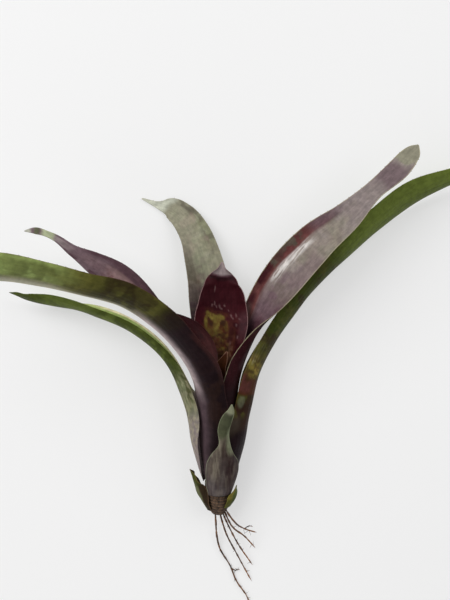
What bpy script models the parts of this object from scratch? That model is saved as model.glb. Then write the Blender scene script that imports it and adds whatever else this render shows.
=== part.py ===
"""A small neoregelia bromeliad with bare roots, lying on its back on a flat surface.

Lengths are in millimetres until a mesh is made, and angles are in degrees. +Y runs along the plant from
its roots to its leaves, +X is to its right and +Z is up. Every leaf clasps the plant's axis with a sheath,
one around the other like nested cups, and leaves it as a channelled blade. A direction around the axis is
a turn: 0 faces up, 90 faces right, 180 faces down and 270 faces left.
"""

from collections import namedtuple

import bmesh
import bpy
import numpy as np

MM = 0.001
UP = np.array([0.0, 0.0, 1.0])

# Driving dimensions
AXIS_TILT = 10.0
AXIS_FOOT = np.array([-3.6, -99.0, 10.0])
CORE_RADIUS = 1.2
CORE_FLARE = 0.03
CORE_CURVE = 9.3e-6
LEAF_PITCH = 1.1
PITCH_GROWTH = 0.45
PITCH_HEIGHT = 30.0
LEAF_THICKNESS = 0.8
SEAT_GAP = 0.3
RIB_SPACING = 6.0
LEAST_RIBS = 9
STRIPS_ACROSS = 12
ROOT_RADIUS = 0.5
ROOT_THINNING = 0.35
ROOTLET_SHARE = 0.7

# How finely the stem is turned, and how close two points are when they count as one
STEM_STEPS = 20
SAME_POINT = 0.001

LEAF_ROUGHNESS = 0.45
ROOT_ROUGHNESS = 0.8

# The middle of the whole plant's footprint, which becomes the origin, and the surface that it lies on
FOOTPRINT_MIDDLE = (6.74, -44.68)
SURFACE_HEIGHT = 0.07

# A wrap is one ring of a sheath: its height along the axis, how far it reaches around the axis behind and
# ahead of the leaf's own turn, and its place in the nest, counted outwards from the heart.
Wrap = namedtuple("Wrap", "height behind ahead nest")

# A rib is one section of a blade: where its keel lies, its width along the curve, how far each half of the
# channel curls up, how far the section is rolled about the leaf, and how much of the width is behind.
Rib = namedtuple("Rib", "x y z width curl roll behind", defaults=(0.5,))

Leaf = namedtuple("Leaf", "turn wraps ribs colour")

DARK_RED = (0.045, 0.012, 0.012)
BURGUNDY = (0.09, 0.03, 0.03)
PURPLE_GREY = (0.13, 0.09, 0.09)
SILVER_GREEN = (0.24, 0.23, 0.17)
OLIVE_BROWN = (0.07, 0.06, 0.03)
OLIVE_GREEN = (0.11, 0.13, 0.04)
LEAF_GREEN = (0.15, 0.19, 0.07)
ROOT_BROWN = (0.06, 0.035, 0.02)

LEAVES = {
    "leaf_heart": Leaf(150, [Wrap(22, 150, 150, 0), Wrap(40, 150, 150, 0), Wrap(54, 110, 110, -0.4)], [
        Rib(-2, -35.5, 20.5, 8, 60, -20), Rib(0, -30.5, 21, 4, 50, -20), Rib(1, -27, 21.5, 0.8, 20, -20),
    ], DARK_RED),
    "leaf_cup": Leaf(178, [
        Wrap(17, 140, 140, 1), Wrap(32, 135, 135, 1), Wrap(47, 125, 125, 1), Wrap(58, 112, 112, 1),
    ], [
        Rib(-2.5, -26.5, 14, 31.5, 85, 0), Rib(-2, -13.5, 14, 36.5, 72, 0), Rib(-1.5, -1.5, 14.5, 30, 58, 0),
        Rib(-2, 8.5, 16, 20.4, 42, 0), Rib(-1.8, 15.5, 18.3, 8.2, 30, 0), Rib(-1.5, 20, 20, 0.6, 20, 0),
    ], BURGUNDY),
    "leaf_back": Leaf(186, [
        Wrap(14, 130, 130, 2), Wrap(30, 125, 125, 2), Wrap(45, 104, 96, 2), Wrap(57, 66, 46, 2),
    ], [
        Rib(-5.5, -24, 10, 17, 42, 0), Rib(-7.5, -13.5, 8.5, 19, 42, 4, 0.42),
        Rib(-8.5, 0, 8.2, 22, 38, 4, 0.47), Rib(-9.5, 11, 7.5, 22.5, 36, 4), Rib(-12, 22.5, 6.5, 21, 32, 4),
        Rib(-16.5, 36, 4.4, 17.5, 28, 4), Rib(-23.5, 46, 1.9, 14.5, 25, 4), Rib(-30, 50.5, 0.7, 11, 20, 4),
        Rib(-35, 51.5, 0.7, 5.4, 20, 4), Rib(-45.5, 55.5, 0.9, 0.6, 10, 4),
    ], SILVER_GREEN),
    "leaf_back_left": Leaf(238, [
        Wrap(11, 120, 120, 3), Wrap(28, 120, 120, 3), Wrap(45, 88, 112, 3), Wrap(58, 24, 98, 3),
    ], [
        Rib(-18.5, -24, 19.5, 20, 90, 80, 0.08), Rib(-27.5, -15, 21, 20.2, 86, 72, 0.19),
        Rib(-40.5, -3, 24, 20.7, 62, 56, 0.4), Rib(-56.5, 10.5, 26, 20, 40, 44),
        Rib(-69.5, 19, 28, 14, 36, 38), Rib(-79, 25, 29, 8, 36, 40), Rib(-87.5, 31.5, 30, 5.6, 30, 50),
        Rib(-92.5, 34, 31, 4.8, 20, 50), Rib(-97.5, 35.5, 31, 4, 20, 30), Rib(-103, 35.5, 31, 0.6, 10, 30),
    ], PURPLE_GREY),
    "leaf_back_right": Leaf(118, [
        Wrap(8, 110, 110, 4), Wrap(26, 112, 112, 4), Wrap(44, 112, 92, 4), Wrap(57, 106, 48, 4),
    ], [
        Rib(13, -22, 18, 22.4, 84, -60, 0.58), Rib(22.5, -1.5, 22, 25.2, 52, -36, 0.55),
        Rib(35, 16, 28, 24.5, 32, -25), Rib(48, 30, 31, 22.5, 28, -25), Rib(62.5, 42, 33, 17, 25, -25),
        Rib(76, 55, 34, 12.8, 25, -40), Rib(89.5, 67.5, 35, 12.2, 18, -25),
        Rib(93.5, 72.5, 35, 10.4, 15, -20), Rib(96.6, 76.5, 35, 6.8, 12, -20),
        Rib(98.5, 79, 35, 0.8, 10, -20),
    ], PURPLE_GREY),
    "leaf_front_left": Leaf(322, [
        Wrap(5, 80, 80, 5), Wrap(22, 80, 80, 5), Wrap(38, 70, 74, 5), Wrap(50, 58, 60, 5),
    ], [
        Rib(-15, -38, 34.5, 28.2, 82, 130, 0.5), Rib(-22, -26, 42, 29.5, 63, 124, 0.55),
        Rib(-34, -12, 52, 29.9, 48, 122, 0.53), Rib(-49.5, -1, 62, 26.8, 44, 122, 0.51),
        Rib(-67, 4.5, 71, 22, 44, 122), Rib(-84, 9, 79, 23, 36, 122), Rib(-102, 12.5, 86, 25, 30, 124, 0.52),
        Rib(-123, 13, 92, 20.5, 28, 122, 0.51), Rib(-142, 13, 95, 0.8, 10, 122),
    ], OLIVE_BROWN),
    "leaf_right": Leaf(80, [Wrap(2, 66, 70, 6), Wrap(12, 70, 72, 7.2), Wrap(24, 66, 66, 7.8)], [
        Rib(13, -59, 17, 26, 82, -95), Rib(17, -41.5, 16.5, 27, 78, -90), Rib(28.5, -19, 15, 26.5, 66, -95),
        Rib(43.5, 1.5, 14, 26.5, 58, -100), Rib(62, 21, 13.2, 26, 50, -110),
        Rib(82.5, 40, 13, 25.5, 46, -118), Rib(100.5, 54, 13, 24, 40, -122),
        Rib(119.5, 63, 13, 18.5, 34, -117), Rib(138.5, 70, 12, 11, 30, -118),
        Rib(155.5, 76, 11, 0.6, 10, -118),
    ], OLIVE_GREEN),
    "leaf_left": Leaf(250, [Wrap(2, 66, 20, 6), Wrap(12, 70, 50, 7.3), Wrap(24, 68, 60, 7.9)], [
        Rib(-22.5, -50.5, 18.5, 22.5, 68, 96, 0.54), Rib(-30.5, -34, 15.5, 21.3, 56, 90, 0.49),
        Rib(-48, -18, 12.8, 23.2, 54, 86, 0.48), Rib(-71.5, -7.5, 11.2, 22.7, 50, 88),
        Rib(-93.5, -2.5, 11, 19, 40, 104), Rib(-103, -0.4, 11, 14, 34, 106), Rib(-110, 2, 11, 8, 28, 106),
        Rib(-115.5, 4, 11, 0.6, 10, 106),
    ], LEAF_GREEN),
    "leaf_short_front": Leaf(5, [
        Wrap(-3, 40, 42, 7), Wrap(2, 43, 50, 8), Wrap(10, 38, 58, 8.5), Wrap(17, 30, 43, 8.8),
        Wrap(22, 19, 27, 9), Wrap(27, 5, 19, 9),
    ], [
        Rib(-0.6, -66.5, 32, 6.4, 30, 186), Rib(1, -61, 34, 6, 30, 186), Rib(3, -56.5, 36, 3.6, 25, 186),
        Rib(3.5, -53, 37, 0.6, 10, 186),
    ], PURPLE_GREY),
    "scale_left": Leaf(272, [Wrap(-13, 40, 52, 4.7), Wrap(-9, 38, 52, 6.6)], [
        Rib(-14.8, -102.9, 9.6, 15.6, 68, 95, 0.44), Rib(-15.9, -99, 10, 14.5, 64, 95, 0.44),
        Rib(-17.4, -94.3, 11, 9, 45, 95), Rib(-18.8, -90.4, 12, 0.6, 15, 92),
    ], OLIVE_GREEN),
    "scale_right": Leaf(70, [Wrap(-11, 40, 34, 5.1), Wrap(-6.5, 40, 32, 7.5), Wrap(-3, 36, 24, 8.1)], [
        Rib(6, -100.4, 13.1, 4.5, 25, -102), Rib(6.2, -98.6, 13.3, 0.6, 10, -104),
    ], OLIVE_GREEN),
}

# The roots leave the stem's foot together and spread as they reach the surface.
ROOTS = {
    "root_a": [(-1, -110, 9.5), (3, -116.5, 9.5), (7, -121, 9), (11.5, -123.5, 8), (17, -125.5, 6.5)],
    "root_b": [(-1.5, -110, 8), (1.5, -118, 7.5), (4, -122.5, 6.5), (10.5, -128, 4.5), (16.5, -135, 2.5)],
    "root_c": [(-3, -110, 7), (0, -118, 6), (2.5, -123.5, 5), (6.5, -131.5, 3.5), (15, -144.5, 1.5)],
    "root_d": [(-4, -110, 6), (-1.5, -120, 5), (0.5, -126.5, 3.5), (6.5, -138.5, 2), (14.5, -153.5, 0.9)],
    "root_e": [
        (-5.5, -110, 5), (-5, -120, 4), (-4.5, -128, 2.5), (-3, -135, 1.4), (3, -145.5, 0.8), (6, -153, 0.8),
        (12, -162, 0.8), (14.5, -168.5, 0.8),
    ],
}
ROOTLETS = {
    "rootlet_a": [(3.5, -146.5, 0.8), (5.5, -147.5, 0.9), (8, -147, 0.8)],
    "rootlet_b": [(10.5, -123, 8.2), (13, -121.5, 8.6), (15, -122, 8.2)],
}


def direction(tilt):
    """The plant's axis, and the direction square to it that faces up."""
    angle = np.radians(tilt)
    along = np.array([0.0, np.cos(angle), np.sin(angle)])
    front = np.array([0.0, -np.sin(angle), np.cos(angle)])
    return along, front


AXIS, FRONT = direction(AXIS_TILT)
RIGHT = np.array([1.0, 0.0, 0.0])


def nest_radius(height, nest):
    """How far from the axis the leaf at this place in the nest stands: the sheaths flare and spread."""
    core = CORE_RADIUS + CORE_FLARE * height + CORE_CURVE * height**3
    risen = np.clip(height / PITCH_HEIGHT, 0.0, 1.0)
    pitch = LEAF_PITCH + PITCH_GROWTH * risen**2 * (3 - 2 * risen)
    return core + nest * pitch


def around_axis(height, radius, turn):
    """The point at this height and turn around the plant's axis."""
    angle = np.radians(turn)
    return AXIS_FOOT + AXIS * height + radius * (np.sin(angle) * RIGHT + np.cos(angle) * FRONT)


def section_rows(leaf):
    """One row a section: keel x, y, z, arc behind, arc ahead, curvature, roll, and 1 on the sheath."""
    rows = []
    for wrap in leaf.wraps:
        radius = nest_radius(wrap.height, wrap.nest)
        keel = around_axis(wrap.height, radius, leaf.turn)
        arcs = radius * np.radians([wrap.behind, wrap.ahead])
        # Toward the axis is half a turn from outwards, and the roll keeps the sign of the blade's own.
        roll = (leaf.turn - 180) if leaf.turn > 20 else leaf.turn + 180
        rows.append([*keel, *arcs, 1 / radius, roll, 1.0])
    for rib in leaf.ribs:
        arcs = (rib.width * rib.behind, rib.width * (1 - rib.behind))
        rows.append([rib.x, rib.y, rib.z, *arcs, np.radians(rib.curl) / (rib.width / 2), rib.roll, 0.0])
    return np.array(rows)


def through(knots, rows, places):
    """A smooth curve through rows, read at places along the knots."""
    slopes = np.gradient(rows, knots, axis=0)
    first = np.clip(np.searchsorted(knots, places, side="right") - 1, 0, len(knots) - 2)
    span = (knots[first + 1] - knots[first])[:, None]
    part = (places - knots[first])[:, None] / span
    start, end = rows[first], rows[first + 1]
    return (
        (1 + 2 * part) * (1 - part) ** 2 * start
        + part * (1 - part) ** 2 * span * slopes[first]
        + part**2 * (3 - 2 * part) * end
        + part**2 * (part - 1) * span * slopes[first + 1]
    )


def unit(vectors):
    return vectors / np.linalg.norm(vectors, axis=-1, keepdims=True)


def leaf_grid(leaf):
    """The leaf's middle surface as a grid of points, sheath to tip by behind to ahead.

    Each section is a circular arc. On the sheath it stands square to the plant's axis, on the blade it
    stands square to the keel, and in between it swings from one to the other.
    """
    rows = section_rows(leaf)
    steps = np.linalg.norm(np.diff(rows[:, :3], axis=0), axis=1)
    knots = np.concatenate([[0.0], np.cumsum(steps)])
    places = np.linspace(0.0, knots[-1], max(LEAST_RIBS, 2 + round(knots[-1] / RIB_SPACING)))
    section = through(knots, rows, places)

    keel = section[:, :3]
    clasp = np.clip(section[:, 7:], 0.0, 1.0)
    clasp = clasp**2 * (3 - 2 * clasp)
    along = unit(AXIS * clasp + unit(np.gradient(keel, places, axis=0)) * (1 - clasp))
    above = unit(UP - along * along[:, 2:])
    roll = np.radians(section[:, 6:7])
    inward = np.cos(roll) * above + np.sin(roll) * np.cross(along, above)
    across = np.cross(inward, along)

    place = np.linspace(-1.0, 1.0, STRIPS_ACROSS + 1)
    arc = np.where(place < 0, place * section[:, 3:4], place * section[:, 4:5])
    curve = section[:, 5:6]
    side = np.sin(arc * curve) / curve
    rise = (1 - np.cos(arc * curve)) / curve
    return keel[:, None] + side[..., None] * across[:, None] + rise[..., None] * inward[:, None]


def grid_triangles(rows, columns):
    """The triangles of a grid of points, wound alike."""
    index = np.arange(rows * columns).reshape(rows, columns)
    corners = (index[:-1, :-1], index[:-1, 1:], index[1:, 1:], index[1:, :-1])
    halves = [np.stack([corners[0], corners[i], corners[i + 1]], axis=-1).reshape(-1, 3) for i in (1, 2)]
    return np.concatenate(halves)


def in_metres(points):
    """Points in the plant's own frame: its origin is on the surface, under the middle of the plant."""
    origin = np.array([*FOOTPRINT_MIDDLE, SURFACE_HEIGHT])
    return (np.asarray(points, dtype=float) - origin) * MM


def material(name, colour, roughness):
    made = bpy.data.materials.new(name)
    made.use_nodes = True
    shader = made.node_tree.nodes["Principled BSDF"]
    shader.inputs["Base Color"].default_value = (*colour, 1.0)
    shader.inputs["Roughness"].default_value = roughness
    shader.inputs["Metallic"].default_value = 0.0
    return made


def add_mesh(name, points, faces, collection):
    mesh = bpy.data.meshes.new(name)
    mesh.from_pydata([tuple(point) for point in points], [], [tuple(face) for face in faces])
    made = bpy.data.objects.new(name, mesh)
    collection.objects.link(made)
    return made


def make_leaf(name, leaf, plant):
    """One leaf: its middle surface, thickened to both sides."""
    grid = leaf_grid(leaf)
    rows, columns = grid.shape[:2]
    triangles = grid_triangles(rows, columns)
    made = add_mesh(name, in_metres(grid.reshape(-1, 3)), triangles, plant)
    shell = made.modifiers.new("blade_thickness", "SOLIDIFY")
    shell.thickness = LEAF_THICKNESS * MM
    shell.offset = 0.0
    made.data.materials.append(material(name + "_skin", leaf.colour, LEAF_ROUGHNESS))
    made.data.shade_smooth()
    return made


def stem_profile():
    """The stem's half outline, top first: it fits inside the foot of each sheath in turn."""
    seats = [(22, 0), (17, 1), (14, 2), (11, 3), (8, 4), (5, 5), (2, 6), (-3, 6.1)]
    inside = LEAF_THICKNESS / 2 + SEAT_GAP
    profile = [(0.0, 24.0)] + [(nest_radius(height, nest) - inside, height) for height, nest in seats]
    return profile + [(6.4, -9.0), (5.2, -13.0), (3.2, -16.0), (0.0, -17.0)]


def make_stem(plant):
    profile = [(radius * MM, 0.0, height * MM) for radius, height in stem_profile()]
    edges = [(i, i + 1) for i in range(len(profile) - 1)]
    mesh = bpy.data.meshes.new("stem")
    mesh.from_pydata(profile, edges, [])
    stem = bpy.data.objects.new("stem", mesh)
    plant.objects.link(stem)
    turned = stem.modifiers.new("turned", "SCREW")
    turned.steps = STEM_STEPS
    turned.render_steps = STEM_STEPS
    turned.use_merge_vertices = True
    turned.merge_threshold = SAME_POINT * MM
    stem.location = in_metres(AXIS_FOOT)
    stem.rotation_euler = (np.radians(AXIS_TILT - 90.0), 0.0, 0.0)
    return stem


def smooth_route(points, count):
    points = np.array(points, dtype=float)
    steps = np.linalg.norm(np.diff(points, axis=0), axis=1)
    knots = np.concatenate([[0.0], np.cumsum(steps)])
    return through(knots, points, np.linspace(0.0, knots[-1], count))


def root_tube(name, points, radius, count, collection):
    """A root as a closed tube that thins towards its end."""
    route = in_metres(smooth_route(points, count))
    curve = bpy.data.curves.new(name, "CURVE")
    curve.dimensions = "3D"
    curve.bevel_depth = radius * MM
    curve.bevel_resolution = 1
    curve.use_fill_caps = True
    spline = curve.splines.new("POLY")
    spline.points.add(count - 1)
    for index, point in enumerate(route):
        spline.points[index].co = (*point, 1.0)
        spline.points[index].radius = 1.0 - ROOT_THINNING * index / (count - 1)
    guide = bpy.data.objects.new(name + "_route", curve)
    collection.objects.link(guide)
    tube = as_mesh(guide, name)
    collection.objects.link(tube)
    bpy.data.objects.remove(guide)
    return tube


def as_mesh(source, name):
    """The evaluated shape of an object as a closed mesh object of its own, not yet in a collection."""
    bpy.context.view_layer.update()
    evaluated = source.evaluated_get(bpy.context.evaluated_depsgraph_get())
    mesh = bpy.data.meshes.new_from_object(evaluated)
    mesh.name = name
    work = bmesh.new()
    work.from_mesh(mesh)
    bmesh.ops.remove_doubles(work, verts=work.verts, dist=SAME_POINT * MM)
    bmesh.ops.triangulate(work, faces=work.faces)
    work.to_mesh(mesh)
    work.free()
    made = bpy.data.objects.new(name, mesh)
    made.matrix_world = source.matrix_world
    return made


def make_root_crown(plant):
    """The stem and its roots, grown together."""
    stem = make_stem(plant)
    joined = bpy.data.collections.new("roots")
    bpy.context.scene.collection.children.link(joined)
    for name, points in ROOTS.items():
        root_tube(name, points, ROOT_RADIUS, 4 * len(points) - 4, joined)
    for name, points in ROOTLETS.items():
        root_tube(name, points, ROOT_RADIUS * ROOTLET_SHARE, 5, joined)
    crown = as_mesh(stem, "root_crown")
    plant.objects.link(crown)
    bpy.data.objects.remove(stem)
    union = crown.modifiers.new("grown_together", "BOOLEAN")
    union.operation = "UNION"
    union.operand_type = "COLLECTION"
    union.collection = joined
    union.solver = "EXACT"
    solid = as_mesh(crown, "root_crown_solid")
    crown.modifiers.remove(union)
    crown.data = solid.data
    bpy.data.objects.remove(solid)
    for tube in list(joined.objects):
        bpy.data.objects.remove(tube)
    bpy.data.collections.remove(joined)
    crown.data.materials.append(material("root_skin", ROOT_BROWN, ROOT_ROUGHNESS))
    return crown


def main():
    for old in list(bpy.data.objects):
        bpy.data.objects.remove(old)
    plant = bpy.data.collections.new("neoregelia_bromeliad")
    bpy.context.scene.collection.children.link(plant)
    make_root_crown(plant)
    for name, leaf in LEAVES.items():
        make_leaf(name, leaf, plant)


main()
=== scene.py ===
"""The look of a small neoregelia bromeliad with bare roots, lying on its back on a pale floor.

Lengths are in millimetres until a mesh is made, and angles are in degrees. +Y runs along the plant from
its roots to its leaves, +X is to its right and +Z is up. Each leaf repeats the sections of its solid on a
finer grid, thins towards its margins, and carries its colours as washes laid along and across it.
"""

from collections import namedtuple

import bpy
import numpy as np
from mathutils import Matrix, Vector


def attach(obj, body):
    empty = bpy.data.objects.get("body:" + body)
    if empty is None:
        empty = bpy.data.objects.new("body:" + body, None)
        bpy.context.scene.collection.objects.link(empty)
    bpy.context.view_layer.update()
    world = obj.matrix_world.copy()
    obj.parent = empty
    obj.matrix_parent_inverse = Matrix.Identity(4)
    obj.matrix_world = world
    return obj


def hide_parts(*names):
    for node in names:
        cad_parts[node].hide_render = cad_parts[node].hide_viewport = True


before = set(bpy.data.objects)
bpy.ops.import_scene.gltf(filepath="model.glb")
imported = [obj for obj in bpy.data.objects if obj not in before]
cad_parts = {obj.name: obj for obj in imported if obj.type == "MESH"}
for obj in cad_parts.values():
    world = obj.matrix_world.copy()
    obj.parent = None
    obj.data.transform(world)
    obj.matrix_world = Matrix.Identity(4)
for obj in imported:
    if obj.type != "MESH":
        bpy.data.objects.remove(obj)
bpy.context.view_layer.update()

MM = 0.001
UP = np.array([0.0, 0.0, 1.0])
RIGHT = np.array([1.0, 0.0, 0.0])

# The plant's driving dimensions, as its solids have them
AXIS_TILT = 10.0
AXIS_FOOT = np.array([-3.6, -99.0, 10.0])
CORE_RADIUS = 1.2
CORE_FLARE = 0.03
CORE_CURVE = 9.3e-6
LEAF_PITCH = 1.1
PITCH_GROWTH = 0.45
PITCH_HEIGHT = 30.0
LEAF_THICKNESS = 0.8
SEAT_GAP = 0.3
ROOT_RADIUS = 0.5
ORIGIN = np.array([6.74, -44.68, 0.07])

# How finely the leaves are made, and how they thin from a strip inside the margins to the margins themselves
ROW_SPACING = 0.8
STRIPS_ACROSS = 64
THIN = 0.3
THINNING_STRIP = 3.0
TIP_THINNING = 0.35

# The grooves that run lengthwise, and the blades' slight waviness, which ends short of the tips
GROOVE_DEPTH = 0.03
GROOVE_SPACING = 2.4
SMOOTH_STRIP = 0.5
WAVE_HEIGHT = 0.7
WAVE_LENGTH = 16
WAVE_WIDTH = 9
STILL_TIP = 25.0

# The spines on the margins: their gaps and heights, how they lean, and the foot that is sunk in the margin
SPINE_GAPS = (3.2, 6.0)
SPINE_HEIGHTS = (0.7, 1.25)
SPINE_LEAN = 0.7
SPINE_SUNK = 0.25
SPINE_HALF_LENGTH = 0.32
SPINE_HALF_THICKNESS = 0.1
SPINELESS_ROWS = 8

# The outer face's patterns start this far from the inner face's, and the spines count as this far from the
# margin, so that they get no pale rim
OUTER_SHIFT = 300
INSIDE_MARGIN = 5.0

# How far the ends and the sides of a colour wash wander, and where its blotches and spots fade
END_WANDER = 7
SIDE_WANDER = 0.14
BLOTCH_EDGE = (0.42, 0.58)
SPOT_EDGE = (0.7, 1.15)

# The roots' rings, taper and unevenness, how far their round ends stand out, and their hairs
TUBE_CAP = 0.1
RING_STEP = 0.35
ROOT_TAPER = 0.35
ROOT_TIP_TAPER = 0.75
ROOT_UNEVENNESS = 0.45
SIDE_ROOT_SHARE = 0.6
HAIRS_PER_ROOT = 7
HAIR_RINGS = 7
HAIR_RADIUS = 0.13
HAIR_TAPER = 0.7
HAIR_LENGTHS = (0.8, 2.6)
HAIR_BEND = 0.12
HAIR_LOWEST = 0.35

# The stem foot: the sheaths' seats as (height, place in the nest), the bare end below them as (radius,
# height), and the rings and lumps on that end
STEM_TOP = 24.0
SHEATH_SEATS = [(22, 0), (17, 1), (14, 2), (11, 3), (8, 4), (5, 5), (2, 6), (-3, 6.1)]
BARE_END = [(6.4, -9.0), (5.2, -13.0), (3.2, -16.0), (0.0, -17.0)]
STEM_ROWS = 160
STEM_STRIPS = 120
STEM_RING_SPACING = 1.7
STEM_RING_SLANT = 0.5
STEM_RING_DEPTH = 0.35
STEM_LUMP_DEPTH = 0.7

# The camera looks straight down on the plant
CAMERA_HEIGHT = 505.0
CAMERA_OVER = (0.0, 0.0)
FILM_HEIGHT = 36.0
LENS = 55.38

# The floor and the lamps, in metres and watts
FLOOR_HALF = 1.6
FLOOR_DROP = 0.0002
FLOOR_GREY = 0.42
FLOOR_GLOW = 0.485
WORLD_STRENGTH = 0.2
LAMP_SIZE = 1.2
LAMPS = {
    "key_light": ((-0.9, 0.7, 1.1), 18.0),
    "fill_light": ((0.9, 0.6, 1.0), 8.0),
    "low_light": ((-0.8, -0.9, 0.9), 5.0),
}

# A leaf stands at its turn round the axis. A wrap is a section of its sheath: a height on the axis, how far
# it clasps behind and ahead of the keel, and its place in the nest. A rib is a section of its blade: the
# keel's point, the width, the curl from margin to margin, the roll, and the share of the width behind.
Wrap = namedtuple("Wrap", "height behind ahead nest")
Rib = namedtuple("Rib", "x y z width curl roll behind", defaults=(0.5,))
Leaf = namedtuple("Leaf", "turn wraps ribs")

# A wash is a soft-edged area of colour on one face of a leaf: from start to end in millimetres along the
# keel, and from behind to ahead across it, where -1 and 1 are the margins. With a patch size it is broken
# into irregular blotches of about that many millimetres, and run is how long they are for their width. Soft
# is how far it fades lengthwise, in millimetres, and fade how far it fades across.
# Some washes paint light and shade instead of the leaf's own colour: sheen, highlights, a shadow, and shade
# painted lighter. Each is marked where it stands.
Wash = namedtuple(
    "Wash", "colour start end behind ahead strength soft patch fade run",
    defaults=(-1.5, 1.5, 1.0, 4.0, 0.0, 0.22, 0.7),
)

# A spot is a soft oval of colour: where its middle is, along the keel and across, and its length and width.
Spot = namedtuple("Spot", "colour along across long wide strength", defaults=(1.0,))

# A skin is a leaf's finish: each face's own colour with the washes over it, how strongly the rim and the pale
# scales show, how smooth it is, how tall its spines are, and the rim's colour.
Skin = namedtuple(
    "Skin", "slot inner inner_washes outer outer_washes rim bloom gloss spines rim_colour",
    defaults=(0.5, 0.3, 0.5, 0.4, (0.5, 0.42, 0.3)),
)

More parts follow.
